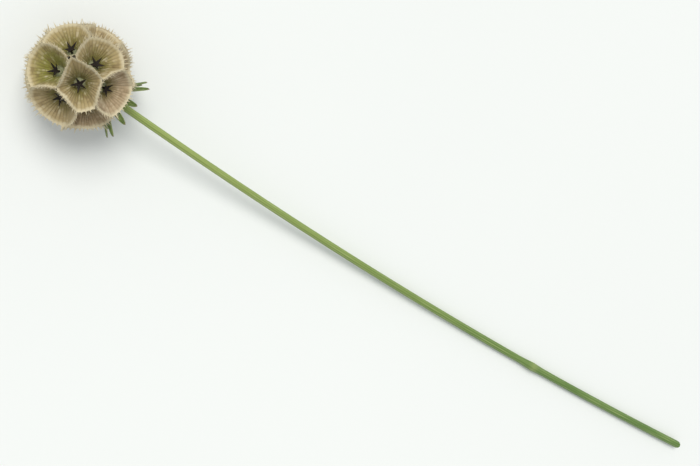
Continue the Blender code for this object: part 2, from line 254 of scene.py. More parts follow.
# The slot and the replaced node of the pieces of the head, of the bracts and of the stem
HEAD = ("papery_cups", "seed_head")
GREENS = ("green_bracts", "involucre")
STEM = ("green_stem", "stem")

# Stage
FLOOR_SIZE = 6.0
SKY_TINT = (0.95, 0.98, 1.0, 1)
KEY_TINT = (1.0, 0.98, 0.94)
KEY_DROP = 0.85
KEY_LEAN = 0.45
KEY_SOFTNESS = 0.6


def a_number(name, description, default, **more):
    return bpy.props.FloatProperty(name=name, description=description, default=default, **more)


def a_length(name, description, default):
    return a_number(name, description, default, unit="LENGTH", precision=5)


def a_colour(name, description, *shade):
    return bpy.props.FloatVectorProperty(
        name=name, description=description, default=(*shade, 1), subtype="COLOR", size=4
    )


class CupSizes(bpy.types.PropertyGroup):
    """Sizes and colours of the papery cups."""

    ribs: bpy.props.IntProperty(name="Ribs", description="Ribs round one cup", default=36, min=12)
    paper: a_length("Paper", "Thickness of a cup's wall", 0.14 * MM)
    pleat: a_length("Pleat", "How far the wall dips between two ribs at the margin", 0.3 * MM)
    scallop: a_length("Scallop", "How far the margin drops between two ribs", 0.25 * MM)
    bristle: a_length("Bristle", "Length of a rib's tip beyond the margin", 1.35 * MM)
    # Cream of the margin, partly a painted highlight where rims catch light, and also the colour of the
    # painted highlight speckles
    rim_and_highlight_colour: a_colour("Rim", "Colour of the margin", 0.87, 0.78, 0.54)
    wall_colour: a_colour("Wall", "Colour half way up the wall", 0.58, 0.465, 0.215)
    # Olive of the green tissue low in the cup, darkened partly as painted shade deep in the cup
    floor_colour: a_colour("Inside", "Colour low in the cup", 0.25, 0.225, 0.045)
    young_colour: a_colour("Young", "Green of the cups near the tip", 0.31, 0.32, 0.05)
    # Brown of the rib lines, also the colour of the painted shadow speckles
    rib_and_shadow_colour: a_colour("Ribs' colour", "Colour of the rib lines", 0.20, 0.13, 0.06)
    back_colour: a_colour("Outside", "Colour of the cup's outside", 0.60, 0.45, 0.34)
    glow_colour: a_colour("Glow", "Colour of the light that comes through the paper", 0.50, 0.41, 0.19)
    throat_colour: a_colour("Throat", "Colour of the hairy ring round the star", 0.60, 0.63, 0.38)


class StarSizes(bpy.types.PropertyGroup):
    """Sizes and colour of the dark stars."""

    reach: a_length("Reach", "Length of a star's arm from its middle", 3.5 * MM)
    lift: a_length("Lift", "How far an arm's tip stands above its root", 1.5 * MM)
    height: a_length("Height", "The star's height along its cup's axis", 15.0 * MM)
    colour: a_colour("Colour", "Dark brown of the bristles", 0.013, 0.009, 0.007)


class GreenSizes(bpy.types.PropertyGroup):
    """Sizes and colours of the bracts and the stem."""

    bract_width: a_length("Bract width", "Greatest width of a bract", 3.3 * MM)
    bract_thickness: a_length("Bract thickness", "Thickness of a bract", 0.4 * MM)
    bract_colour: a_colour("Bracts", "Green of the bracts", 0.13, 0.20, 0.045)
    stem_colour: a_colour("Upper stem", "Light yellow-green of the stem near the head", 0.29, 0.36, 0.09)
    foot_colour: a_colour("Lower stem", "Deeper green of the stem near its cut", 0.11, 0.20, 0.04)
    pith_colour: a_colour("Cut face", "Pale flesh of the cut", 0.58, 0.62, 0.38)


class StageSizes(bpy.types.PropertyGroup):
    """Camera and light."""

    camera_height: a_length("Camera height", "Height of the camera above the head", 0.422)
    aim: bpy.props.FloatVectorProperty(
        name="Aim", description="Point that the camera looks at", subtype="XYZ",
        default=(-0.0344, 0.011, 0.006),
    )
    roll: a_number("Roll", "How far the stem slants in the picture", radians(36.0), unit="ROTATION")
    lens: a_number("Lens", "Focal length of the camera", 48.6, unit="CAMERA")
    floor_colour: a_colour("Floor", "Colour of the pale floor", 0.84, 0.86, 0.84)
    key_strength: a_number("Key light", "Strength of the soft light from above", 1.9)
    sky_strength: a_number("Sky", "Strength of the even light from all sides", 0.62)


class Wire:
    """One output of a shader node. Arithmetic on it adds Math nodes."""

    def __init__(self, tree, socket):
        self.tree = tree
        self.socket = socket

    def node(self, kind, sockets, output=0, **settings):
        """Adds a node, makes its settings, then fills its sockets, and returns one of its outputs."""
        made = self.tree.nodes.new(kind)
        for name, value in settings.items():
            setattr(made, name, value)
        for name, value in sockets.items():
            if isinstance(value, Wire):
                self.tree.links.new(value.socket, made.inputs[name])
            else:
                made.inputs[name].default_value = value
        return Wire(self.tree, made.outputs[output])

    def maths(self, operation, *values):
        return self.node("ShaderNodeMath", dict(enumerate(values)), operation=operation)

    def __add__(self, other):
        return self.maths("ADD", self, other)

    __radd__ = __add__

    def __sub__(self, other):
        return self.maths("SUBTRACT", self, other)

    def __rsub__(self, other):
        return self.maths("SUBTRACT", other, self)

    def __mul__(self, other):
        return self.maths("MULTIPLY", self, other)

    def between(self, low, high):
        """Rises smoothly from 0 at low to 1 at high."""
        sockets = {"Value": self, "From Min": low, "From Max": high}
        return self.node("ShaderNodeMapRange", sockets, interpolation_type="SMOOTHSTEP")

    def blend(self, first, second):
        """Colour first where this is 0, and second where it is 1."""
        return self.node("ShaderNodeMix", {0: self, 6: first, 7: second}, 2, data_type="RGBA")

    def noise(self, scale, detail=2.0, roughness=0.5):
        """Noise with this vector as its place; scale is in waves a metre."""
        sockets = {"Vector": self, "Scale": scale, "Detail": detail, "Roughness": roughness}
        return self.node("ShaderNodeTexNoise", sockets)


class Finish:
    """A material with one Principled shader, and the wires that its pattern starts from."""

    def __init__(self, name, roughness, gloss, sheen=0.0):
        self.material = bpy.data.materials.new(name)
        self.material.use_nodes = True
        self.tree = self.material.node_tree
        self.shader = self.tree.nodes["Principled BSDF"]
        self.output = self.tree.nodes["Material Output"]
        self.shader.inputs["Roughness"].default_value = roughness
        self.shader.inputs["Specular IOR Level"].default_value = gloss
        self.shader.inputs["Sheen Weight"].default_value = sheen
        self.start = Wire(self.tree, None)
        self.place = self.start.node("ShaderNodeTexCoord", {}, "Object")

    def values(self, *names):
        """The numbers stored on the mesh's points under some names."""
        node = self.start.node
        return [node("ShaderNodeAttribute", {}, "Fac", attribute_name=name) for name in names]

    def wear(self, socket, wire):
        self.tree.links.new(wire.socket, self.shader.inputs[socket])

    def bump(self, height, depth):
        """Raises the surface by height, from 0 to 1, times depth in metres."""
        self.wear("Normal", self.start.node("ShaderNodeBump", {"Height": height, "Distance": depth}))

    def shine_through(self, colour, share):
        """Lets a share of the light that falls on the other side through the surface."""
        through = self.start.node("ShaderNodeBsdfTranslucent", {"Color": colour})
        surface = Wire(self.tree, self.shader.outputs[0])
        both = self.start.node("ShaderNodeMixShader", {0: share, 1: surface, 2: through})
        self.tree.links.new(both.socket, self.output.inputs["Surface"])


def tinted(colour, *factors):
    """A colour with its red, green and blue each multiplied by a factor."""
    return (*(part * factor for part, factor in zip(colour, factors)), 1)


def on_sphere(polar_angle, azimuth):
    level = sin(polar_angle)
    return Vector((level * cos(azimuth), level * sin(azimuth), cos(polar_angle)))


REST_AXIS = on_sphere(pi / 2 + STEM_DROP, 0.0)
STEM_SIDE = Vector((0, 0, -1))


def head_turn():
    """Turns the head's frame so that its stem side points along +X and down, and one cup faces down."""
    tip = Vector((-cos(STEM_DROP), 0, sin(STEM_DROP)))
    down = Vector((-sin(STEM_DROP), 0, -cos(STEM_DROP)))
    return Matrix((down, tip.cross(down), tip)).transposed()


HEAD_TURN = head_turn()


def in_world(point):
    """A point of the head's frame in the world, held above the surface that the flower lies on."""
    placed = HEAD_CENTRE + HEAD_TURN @ point
    placed.z = max(placed.z, FLOOR_GAP)
    return placed


def cup_axes():
    """The cups' directions: a sunflower spiral, whose points push each other to an even spacing.

    The tip cup comes first. It and the cup that the head rests on, whose index is returned too, stay put.
    """
    golden = pi * (3 - sqrt(5))
    axes = []
    for index in range(CUP_COUNT):
        height = 1 - (1 - cos(FARTHEST_CUP)) * (index + 0.5) / CUP_COUNT
        axes.append(on_sphere(acos(height), index * golden))
    rest = max(range(CUP_COUNT), key=lambda index: axes[index].dot(REST_AXIS))
    axes[0] = -STEM_SIDE
    axes[rest] = REST_AXIS.copy()
    for step in range(RELAX_STEPS):
        rate = RELAX_RATE * (1 - RELAX_COOLING * step / RELAX_STEPS)
        axes = [
            axis if index in (0, rest) else (axis + pushed_move(axes, index, rate)).normalized()
            for index, axis in enumerate(axes)
        ]
    return axes, rest


def pushed_move(axes, index, rate):
    """One cup's small move over the head, under the push of the stem and of all the other cups."""
    axis = axes[index]
    move = push_apart(axis, STEM_SIDE, STEM_PUSH)
    for other, neighbour in enumerate(axes):
        if other != index:
            move += push_apart(axis, neighbour, TIP_CUP_PUSH if other == 0 else 1.0)
    move = (move - axis * move.dot(axis)) * rate
    return move * min(1.0, LONGEST_MOVE / max(move.length, 1e-9))


def push_apart(axis, neighbour, strength):
    away = axis - neighbour
    return away.normalized() * strength * (CUP_SPACING / away.length) ** PUSH_POWER


class Cell:
    """One cup's share of the head, with the planes between it and its neighbours and its own chances."""

    def __init__(self, index, axes, proud):
        self.index = index
        self.axis = axes[index]
        self.young = index == 0
        dice = random.Random(f"{SEED} age {index}")
        self.age = self.axis.angle(-STEM_SIDE) / FARTHEST_CUP + dice.uniform(-AGE_CHANCE, AGE_CHANCE)
        self.waves = [(order, dice.uniform(0, tau), RIM_WAVE / order) for order in RIM_WAVES]
        self.proud = proud[index]
        self.name = f"{index + 1:02d}"
        side = Vector((0, 0, 1)).cross(self.axis)
        self.side = side.normalized() if side.length > 1e-6 else Vector((1, 0, 0))
        self.across = self.axis.cross(self.side)
        self.walls = self.find_walls(axes, proud)

    def find_walls(self, axes, proud):
        """The planes through the head's centre that bound the cup.

        Each is a unit normal towards this cup, and how far this cup bulges over its neighbour.
        """
        weights = [TIP_CUP_WEIGHT] + [1.0] * (CUP_COUNT - 1)
        own = self.axis * weights[self.index]
        walls = []
        for other in range(CUP_COUNT):
            if other != self.index:
                normal = (own - axes[other] * weights[other]).normalized()
                prouder = proud[self.index] - proud[other]
                walls.append((normal, OVERLAP * prouder + copysign(LEAST_BULGE, prouder)))
        if self.axis.z < 0:
            azimuth = atan2(self.axis.y, self.axis.x)
            along = Vector((-sin(azimuth), cos(azimuth), 0))
            normal = on_sphere(pi - STEM_CONE, azimuth).cross(along)
            walls.append((normal if normal.dot(self.axis) > 0 else -normal, 0.0))
        return walls

    def edge(self, tangent, height):
        """How far the cup spreads along tangent at a height, with bulging sides and rounded corners."""
        total = 0.0
        for normal, bulge in self.walls:
            lean = -tangent.dot(normal)
            if lean > LEAST_LEAN:
                distance = height * self.axis.dot(normal)
                beside = distance * tangent.dot(normal.cross(self.axis)) / lean
                share = max(0.0, 1 - (beside / HALF_SIDE) ** 2)
                total += (lean / (distance - CELL_GAP + bulge * share * height / RIM[1])) ** CORNER_POWER
        return total ** (-1 / CORNER_POWER)

    def wave(self, angle):
        """How far the margin stands above its even line at an angle."""
        return sum(height * sin(order * angle + phase) for order, phase, height in self.waves)

    def tangent(self, angle):
        """The direction away from the cup's axis at an angle round it."""
        return self.side * cos(angle) + self.across * sin(angle)

    def spot(self, angle, reach, height):
        """A point of the head's frame, from its angle round the cup's axis, its reach and its height."""
        return self.axis * height + self.tangent(angle) * reach


def head_cells():
    """All cells. The tip cup stands low, the cup that the head rests on even, and the topmost one proud."""
    axes, rest = cup_axes()
    dice = random.Random(f"{SEED} proud")
    proud = [dice.uniform(-PROUDEST, PROUDEST) for _ in axes]
    upper = min(range(len(axes)), key=lambda index: axes[index].dot(REST_AXIS))
    proud[0] = -PROUDEST
    proud[rest] = 0.0
    proud[upper] = TOPMOST_PROUD
    return [Cell(index, axes, proud) for index in range(len(axes))]


CELLS = head_cells()


def pick(*objects):
    """Makes these pieces the only ones selected, and the first of them active."""
    bpy.ops.object.select_all(action="DESELECT")
    for item in objects:
        item.select_set(True)
    bpy.context.view_layer.objects.active = objects[0]


def polar(point):
    """A point's angle round the Z axis, its reach from it and its height."""
    return atan2(point.y, point.x), hypot(point.x, point.y), point.z


def edit_all():
    """Edit mode with the whole mesh selected."""
    bpy.ops.object.mode_set(mode="EDIT")
    bpy.ops.mesh.select_all(action="SELECT")


def metres(profile):
    return [(radius * MM, height * MM) for radius, height in profile]


def drawn_up(sides, profile, filled=True):
    """A circle drawn up ring by ring along its axis; the profile holds (radius, height) pairs in metres."""
    radius, height = profile[0]
    bpy.ops.mesh.primitive_circle_add(
        vertices=sides, radius=radius, fill_type="NGON" if filled else "NOTHING", location=(0, 0, height)
    )
    item = bpy.context.object
    bpy.ops.object.transform_apply()
    edit_all()
    for next_radius, next_height in profile[1:]:
        rise = {"value": (0, 0, next_height - height)}
        if filled:
            bpy.ops.mesh.extrude_region_move(TRANSFORM_OT_translate=rise)
        else:
            bpy.ops.mesh.extrude_edges_move(TRANSFORM_OT_translate=rise)
        grow = next_radius / radius
        bpy.ops.transform.resize(value=(grow, grow, 1), center_override=(0, 0, 0))
        radius, height = next_radius, next_height
    if filled:
        bpy.ops.mesh.select_all(action="SELECT")
        bpy.ops.mesh.normals_make_consistent()
    bpy.ops.object.mode_set(mode="OBJECT")
    return item


def copy_of(master):
    item = master.copy()
    item.data = master.data.copy()
    bpy.context.scene.collection.objects.link(item)
    return item


def discard(item):
    bpy.data.objects.remove(item)


def modify(item, kind, **settings):
    """Adds a modifier to a piece and applies it."""
    pick(item)
    modifier = item.modifiers.new(kind, kind)
    for name, value in settings.items():
        setattr(modifier, name, value)
    bpy.ops.object.modifier_apply(modifier=modifier.name)


def join(*objects):
    pick(*objects)
    bpy.ops.object.join()
    return objects[0]


def give(mesh, **values):
    """Stores numbers on a mesh's points, one for each or one for all, for its material to read."""
    for name, numbers in values.items():
        layer = mesh.attributes.new(name, "FLOAT", "POINT")
        each = numbers if isinstance(numbers, list) else [numbers] * len(layer.data)
        layer.data.foreach_set("value", each)


def finish_piece(item, name, material, home, smooth=45):
    """Names a piece, shades it and hands it to the frame in place of its CAD node."""
    slot, node = home
    item.name = name
    item.data.name = name
    item.data.materials.append(material)
    pick(item)
    bpy.ops.object.shade_smooth_by_angle(angle=radians(smooth))
    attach(item, "root")
    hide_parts(node)


def hairs(strands):
    """One mesh of thin three-sided hairs. A strand is its root, its middle, its tip and its width."""
    points = []
    faces = []
    for root, middle, tip, width in strands:
        heading = (tip - root).normalized()
        side = heading.orthogonal().normalized()
        other = heading.cross(side)
        first = len(points)
        for place, share in ((root, 1.0), (middle, 0.7)):
            for corner in range(3):
                angle = tau * corner / 3
                offset = (side * cos(angle) + other * sin(angle)) * (width / 2 * share)
                points.append(place + offset)
        points.append(tip)
        faces.append((first + 2, first + 1, first))
        for corner in range(3):
            after = (corner + 1) % 3
            faces.append((first + corner, first + after, first + 3 + after, first + 3 + corner))
            faces.append((first + 3 + corner, first + 3 + after, first + 6))
    mesh = bpy.data.meshes.new("hairs")
    mesh.from_pydata(points, [], faces)
    item = bpy.data.objects.new("hairs", mesh)
    bpy.context.scene.collection.objects.link(item)
    return item


def hair(root, lean, length, width, bend=Vector()):
    """A hair of the head or of a bract, which leans straight out from its root and bends at its tip."""
    tip = root + lean * length + bend
    return in_world(root), in_world(root + lean * length * 0.5), in_world(tip), width


def cup_sheet(ribs):
    """The plain funnel that all cups are pressed from, with one row a millimetre above the other."""
    columns = ribs * len(RIB_PHASES)
    rings = [(NECK[0] + row * MM / 2, row * MM) for row in range(WALL_ROWS + 2)]
    return drawn_up(columns, rings, filled=False)


def rim_of(cell, angle, tangent):
    """Reach and height of a cup's margin, on the ball that all the margins follow."""
    height = RIM[1]
    for _ in range(RIM_ROUNDS):
        reach = min(WIDEST, cell.edge(tangent, height))
        height = sqrt((RIM_BALL + cell.proud + cell.wave(angle)) ** 2 - reach ** 2)
    return reach, height


def cup_line(cell, angle, crest, sizes, bristle):
    """Places up one line of the cup's wall, from its neck to the margin and the tip of its rib."""
    rim_reach, rim_height = rim_of(cell, angle, cell.tangent(angle))
    lip = (rim_reach - LIP_REACH, rim_height - LIP_DROP)
    notch = sizes.scallop * (1 - crest) * MARGIN_NOTCH
    margin = (rim_reach - notch, rim_height - notch)
    poles = [Vector(place) for place in (NECK, THROAT_PULL, lip, margin)]
    line = []
    for row in range(WALL_ROWS + 1):
        t = row / WALL_ROWS
        place = poles[0] * (1 - t) ** 3 + poles[1] * 3 * t * (1 - t) ** 2
        place += poles[2] * 3 * t ** 2 * (1 - t) + poles[3] * t ** 3
        place.x -= sizes.pleat * (PLEAT_BELLY * t * (1 - t) + PLEAT_AT_MARGIN * t) * (1 - crest)
        line.append(place)
    outward = (poles[3] - poles[2]).normalized()
    line.append(line[-1] + outward * bristle)
    return line


def pressed_cup(sheet, cell, sizes):
    """A copy of the plain funnel in its cell, pleated, and with its ribs drawn out to bristles."""
    cup = copy_of(sheet)
    dice = random.Random(f"{SEED} cup {cell.index}")
    parts = len(RIB_PHASES)
    columns = sizes.ribs * parts
    tips = [
        sizes.bristle * dice.uniform(*BRISTLE_SHARES) ** BRISTLE_POWER * dice.choice(BRISTLE_CHANCES)
        for _ in range(sizes.ribs)
    ]
    streaks = [dice.random() for _ in range(sizes.ribs)]
    tone = dice.random()
    lines = []
    for column in range(columns):
        rib, part = divmod(column, parts)
        angle = tau * (rib + RIB_PHASES[part]) / sizes.ribs
        crest = RIB_CREST[part]
        bristle = tips[rib] if part == 0 else BETWEEN_BRISTLES
        line = cup_line(cell, angle, crest, sizes, bristle)
        lengths = [0.0]
        for before, after in zip(line[:-2], line[1:-1]):
            lengths.append(lengths[-1] + (after - before).length)
        shares = [length / lengths[-1] for length in lengths] + [1.0]
        lines.append((angle, crest, line, shares))
    values = {"rib": [], "reach": [], "streak": []}
    for vertex in cup.data.vertices:
        turn, _, height = polar(vertex.co)
        column, row = round(turn / tau * columns) % columns, round(height / MM)
        angle, crest, line, shares = lines[column]
        vertex.co = in_world(cell.spot(angle, line[row].x, line[row].y))
        values["rib"].append(crest)
        values["reach"].append(shares[row])
        values["streak"].append(streaks[column // parts])
    give(cup.data, tone=tone, age=YOUNG_AGE if cell.young else cell.age, **values)
    modify(cup, "SOLIDIFY", thickness=sizes.paper, offset=0.0)
    count = len(cup.data.vertices)
    give(cup.data, back=[1.0 if number < count // 2 else 0.0 for number in range(count)])
    return cup


def tube_of(master, cell):
    """The furrowed tube below one cup."""
    tube = copy_of(master)
    for vertex in tube.data.vertices:
        angle, reach, height = polar(vertex.co)
        furrow = 0.5 - 0.5 * cos(TUBE_FURROWS * angle)
        vertex.co = in_world(cell.spot(angle, reach * (1 - TUBE_FURROW_DEPTH * furrow), height))
    give(tube.data, rib=0.0, reach=0.0, streak=0.5, tone=0.5, age=cell.age, back=1.0)
    return tube


def paper_finish(sizes):
    """Dry papery tissue: cream at the margin, partly the real paler margin and partly a painted highlight
    where rims catch light; tan on the wall; olive low down, darkened by painted shade deep in the cup; pale
    round the star; speckled with painted highlights and painted shadows.
    """
    paper = Finish("papery cup", roughness=0.72, gloss=0.3, sheen=0.12)
    reach, rib, back = paper.values("reach", "rib", "back")
    streak, tone, age = paper.values("streak", "tone", "age")
    mottle = paper.place.noise(380.0, 3.0)
    panel = paper.start.node("ShaderNodeCombineXYZ", {0: streak * 31.0, 1: reach * 2.2, 2: tone * 17.0})
    # Speckle pattern that paints highlights and shadows on the paper; it also roughens the margin's edge
    # and the bump
    light_and_shade_speckle = panel.noise(1.6, 3.0, 0.6)
    uneven = reach + (mottle - 0.5) * 0.3 + (streak - 0.5) * 0.14 + (age - 0.6) * 0.35
    # Olive low in the cup rising to tan on the wall: real tissue colours, with painted shade darkening the
    # depth
    inside = uneven.between(0.2, 0.85).blend(sizes.floor_colour, sizes.wall_colour)
    green = (age + (mottle - 0.5) * 0.5).between(0.75, 0.1) * reach.between(0.95, 0.35)
    inside = (green * 0.8).blend(inside, sizes.young_colour)
    pink = age.between(0.4, 1.05) * reach.between(0.1, 0.6)
    inside = (pink * 0.6).blend(inside, sizes.back_colour)
    inside = (rib * (1 - reach * 0.6) * 0.8).blend(inside, sizes.rib_and_shadow_colour)
    inside = reach.between(0.16, 0.04).blend(inside, sizes.throat_colour)
    outside = reach.between(0.05, 0.45).blend(sizes.throat_colour, sizes.back_colour)
    outside = (rib * 0.45).blend(outside, sizes.rib_and_shadow_colour)
    colour = back.blend(inside, outside)
    # Painted highlights: lighter speckles in the rim's cream
    colour = (light_and_shade_speckle.between(0.5, 0.72) * 0.6).blend(colour, sizes.rim_and_highlight_colour)
    # Painted shadows: darker speckles in the ribs' brown
    colour = (light_and_shade_speckle.between(0.5, 0.28) * 0.65).blend(colour, sizes.rib_and_shadow_colour)
    # Cream margin: the real paler margin, and partly a painted highlight where the rims catch light,
    # brighter on some cups
    margin = (reach + (mottle - 0.5) * 0.1 + (light_and_shade_speckle - 0.5) * 0.1).between(0.83, 0.98)
    colour = (margin * (0.72 + tone * 0.26)).blend(colour, sizes.rim_and_highlight_colour)
    paper.wear("Base Color", colour)
    grain = paper.place.noise(2600.0)
    paper.bump(grain * 0.6 + light_and_shade_speckle * 0.5, 0.12 * MM)
    paper.shine_through(sizes.glow_colour, 0.26)
    return paper.material


class SCABIOSA_OT_cups(bpy.types.Operator):
    """Model the papery cups of the head, each pressed into its own cell, on their furrowed tubes"""

    bl_idname = "scabiosa.cups"
    bl_label = "Papery cups"
    bl_options = {"REGISTER", "UNDO"}

    def execute(self, context):
        sizes = context.scene.scabiosa_cups
        paper = paper_finish(sizes)
        sheet = cup_sheet(sizes.ribs)
        tube = drawn_up(TUBE_SIDES, metres(TUBE_PROFILE))
        for cell in CELLS:
            cup = join(pressed_cup(sheet, cell, sizes), tube_of(tube, cell))
            finish_piece(cup, f"cup_{cell.name}", paper, HEAD, 60)
        discard(sheet)
        discard(tube)
        return {"FINISHED"}


def star_arm(sizes):
    """One bristle of the star, lying along +X and bent up to its tip."""
    arm = drawn_up(ARM_SIDES, [(width * MM, share * sizes.reach) for width, share in ARM_PROFILE])
    for vertex in arm.data.vertices:
        share = vertex.co.z / sizes.reach
        rise = vertex.co.y * ARM_FLATNESS + sizes.lift * share ** ARM_CURVE
        vertex.co = Vector((vertex.co.z, vertex.co.x, rise))
    return arm


def star_master(sizes):
    """A whole star about its cup's axis: its bristles, the disc that they grow from, and its stalk."""
    star = drawn_up(STAR_SIDES, metres(STAR_PROFILE))
    arm = star_arm(sizes)
    arms = []
    for number in range(STAR_ARMS):
        copy = copy_of(arm)
        copy.data.transform(Matrix.Rotation(tau * number / STAR_ARMS, 4, "Z"))
        arms.append(copy)
    discard(arm)
    return join(star, *arms)


def bent_star(master, cell, sizes):
    """A copy of the star in its cup, with a turn, a size and a tilt of its own, and its arms bent."""
    star = copy_of(master)
    dice = random.Random(f"{SEED} star {cell.index}")
    phase, size, tilt = dice.uniform(0, tau), dice.uniform(*STAR_SCALES), dice.uniform(0, STAR_TILT)
    bends = [(dice.uniform(*ARM_SCALES), dice.uniform(*ARM_LIFTS)) for _ in range(STAR_ARMS)]
    for vertex in star.data.vertices:
        angle, reach, height = polar(vertex.co)
        length, lift = bends[round(angle / tau * STAR_ARMS) % STAR_ARMS]
        reach *= size
        height = height * (lift if height > ARM_RISE else 1) + tilt * reach * cos(angle)
        reach *= length if reach > ARM_START else 1
        vertex.co = in_world(cell.spot(angle + phase, reach, height + sizes.height))
    return star


def bristle_finish(colour):
    """Dry dark bristle, a little browner in patches."""
    bristle = Finish("dark bristle", roughness=0.65, gloss=0.2)
    patch = bristle.place.noise(900.0)
    brown = tinted(colour, 2.2, 1.9, 1.7)
    bristle.wear("Base Color", patch.between(0.45, 0.75).blend(colour, brown))
    bristle.bump(bristle.place.noise(3500.0), 0.08 * MM)
    return bristle.material


class SCABIOSA_OT_stars(bpy.types.Operator):
    """Model the dark five-armed star in each cup"""

    bl_idname = "scabiosa.stars"
    bl_label = "Dark stars"
    bl_options = {"REGISTER", "UNDO"}

    def execute(self, context):
        sizes = context.scene.scabiosa_stars
        dark = bristle_finish(sizes.colour)
        master = star_master(sizes)
        for cell in CELLS:
            if not cell.young:
                star = bent_star(master, cell, sizes)
                finish_piece(star, f"star_{cell.name}", dark, HEAD, 50)
        discard(master)
        return {"FINISHED"}


def core_piece():
    """The receptacle: a rough ball, cut flat where the stem enters its hole."""
    bpy.ops.mesh.primitive_ico_sphere_add(subdivisions=5, radius=CORE_RADIUS)
    core = bpy.context.object
    for vertex in core.data.vertices:
        lump = noise.noise(vertex.co / CORE_LUMPS[0]) + 0.5 * noise.noise(vertex.co / CORE_LUMPS[1])
        vertex.co *= 1 - CORE_ROUGH / CORE_RADIUS * (0.6 + 0.5 * lump)
    edit_all()
    base = {"plane_co": (0, 0, -CORE_BASE), "plane_no": (0, 0, -1)}
    bpy.ops.mesh.bisect(use_fill=True, clear_outer=True, **base)
    bpy.ops.object.mode_set(mode="OBJECT")
    drill = drawn_up(HOLE_SIDES, [(HOLE_RADIUS, -CORE_RADIUS), (HOLE_RADIUS, -HOLE_TOP)])
    modify(core, "BOOLEAN", operation="DIFFERENCE", object=drill)
    discard(drill)
    for vertex in core.data.vertices:
        vertex.co = in_world(vertex.co)
    return core


def tube_strands(cell, dice):
    """Soft pale hairs that spread from a cup's tube."""
    count, lengths, width = TUBE_HAIRS
    for _ in range(count):
        tangent = cell.tangent(dice.uniform(0, tau))
        root = cell.axis * dice.uniform(*TUBE_HAIR_HEIGHTS) * MM + tangent * TUBE_HAIR_REACH
        lean = (tangent + cell.axis * dice.uniform(0.25, 1.1)).normalized()
        yield hair(root, lean, dice.uniform(*lengths) * MM, width, cell.axis * 0.25 * MM)


def throat_strands(cell, dice):
    """The ring of short pale hairs round the star's stalk."""
    count, lengths, width = THROAT_HAIRS
    for _ in range(count):
        tangent = cell.tangent(dice.uniform(0, tau))
        root = cell.axis * THROAT_HEIGHT + tangent * dice.uniform(*THROAT_REACHES) * MM
        lean = (cell.axis + tangent * dice.uniform(-0.1, 0.55)).normalized()
        yield hair(root, lean, dice.uniform(*lengths) * MM, width, tangent * 0.15 * MM)


def bud_piece(cell):
    """The small green bud that stands in the tip cup instead of a star, with five blunt corners."""
    bud = drawn_up(BUD_SIDES, metres(BUD_PROFILE))
    for vertex in bud.data.vertices:
        angle, reach, height = polar(vertex.co)
        corner = 1 - BUD_CORNER_DEPTH * (1 - cos(BUD_CORNERS * angle))
        vertex.co = in_world(cell.spot(angle, reach * corner, height))
    return bud


def rim_strands(cell, dice):
    """Fine pale hairs that stand out from a cup's margin."""
    count, lengths, width = RIM_HAIRS
    for _ in range(count):
        angle = dice.uniform(0, tau)
        tangent = cell.tangent(angle)
        rim_reach, rim_height = rim_of(cell, angle, tangent)
        down = dice.uniform(0.0, 0.5) * MM
        root = cell.axis * (rim_height - down) + tangent * (rim_reach - down)
        lean = (tangent * dice.uniform(0.4, 1.1) + cell.axis * dice.uniform(0.2, 1.1)).normalized()
        lean += tangent.cross(cell.axis) * dice.uniform(-0.35, 0.35)
        length = dice.uniform(*lengths) * MM
        yield hair(root, lean, length, width, tangent * dice.uniform(-0.1, 0.3) * MM)


def scale_strands(cell, dice):
    """Narrow dry scales of the receptacle, which stand round the root of each tube."""
    count, lengths, width = CORE_SCALES
    for number in range(count):
        tangent = cell.tangent(tau * (number + dice.uniform(-0.3, 0.3)) / count)
        root = cell.axis * SCALE_HEIGHT + tangent * dice.uniform(*SCALE_REACHES) * MM
        length = dice.uniform(*lengths) * MM
        lean = (cell.axis + tangent * dice.uniform(0.0, 0.2)).normalized()
        yield hair(root, lean, length, width)


def core_finish():
    """Rough dry tissue between the tubes, green and brown in patches."""
    core = Finish("receptacle", roughness=0.8, gloss=0.25)
    patch = core.place.noise(700.0, 3.0).between(0.35, 0.7)
    core.wear("Base Color", patch.blend(*CORE_SHADES))
    core.bump(core.place.noise(1800.0, 3.0), 0.3 * MM)
    return core.material


def down_finish(name, shades, patches=600.0, blur=(0.3, 0.7), roughness=0.6, gloss=0.3):
    """Hairs or dry scales in two shades; patches is in waves a metre."""
    down = Finish(name, roughness=roughness, gloss=gloss)
    down.wear("Base Color", down.place.noise(patches).between(*blur).blend(*shades))
    return down.material


class SCABIOSA_OT_receptacle(bpy.types.Operator):
    """Model the receptacle that the cups stand on, with its scales, and the hairs of tubes and throats"""

    bl_idname = "scabiosa.receptacle"
    bl_label = "Receptacle"
    bl_options = {"REGISTER", "UNDO"}

    def execute(self, context):
        sizes = context.scene.scabiosa_cups
        straw = down_finish("straw scale", (SCALE_STRAW, sizes.back_colour), 500.0, (0.35, 0.65), 0.8, 0.25)
        throat = down_finish("throat down", (sizes.throat_colour, PALEST_THROAT), 900.0)
        finish_piece(core_piece(), "receptacle", core_finish(), HEAD, 60)
        finish_piece(bud_piece(CELLS[0]), "bud", throat, HEAD, 60)
        groups = (
            ("receptacle_scales", scale_strands, straw),
            ("tube_hairs", tube_strands, down_finish("pale down", TUBE_DOWN)),
            ("throat_hairs", throat_strands, throat),
            ("rim_hairs", rim_strands, down_finish("fringe", RIM_DOWN)),
        )
        for name, strands_of, finish in groups:
            dice = random.Random(f"{SEED} {name}")
            strands = [strand for cell in CELLS for strand in strands_of(cell, dice)]
            finish_piece(hairs(strands), name, finish, HEAD, 60)
        return {"FINISHED"}


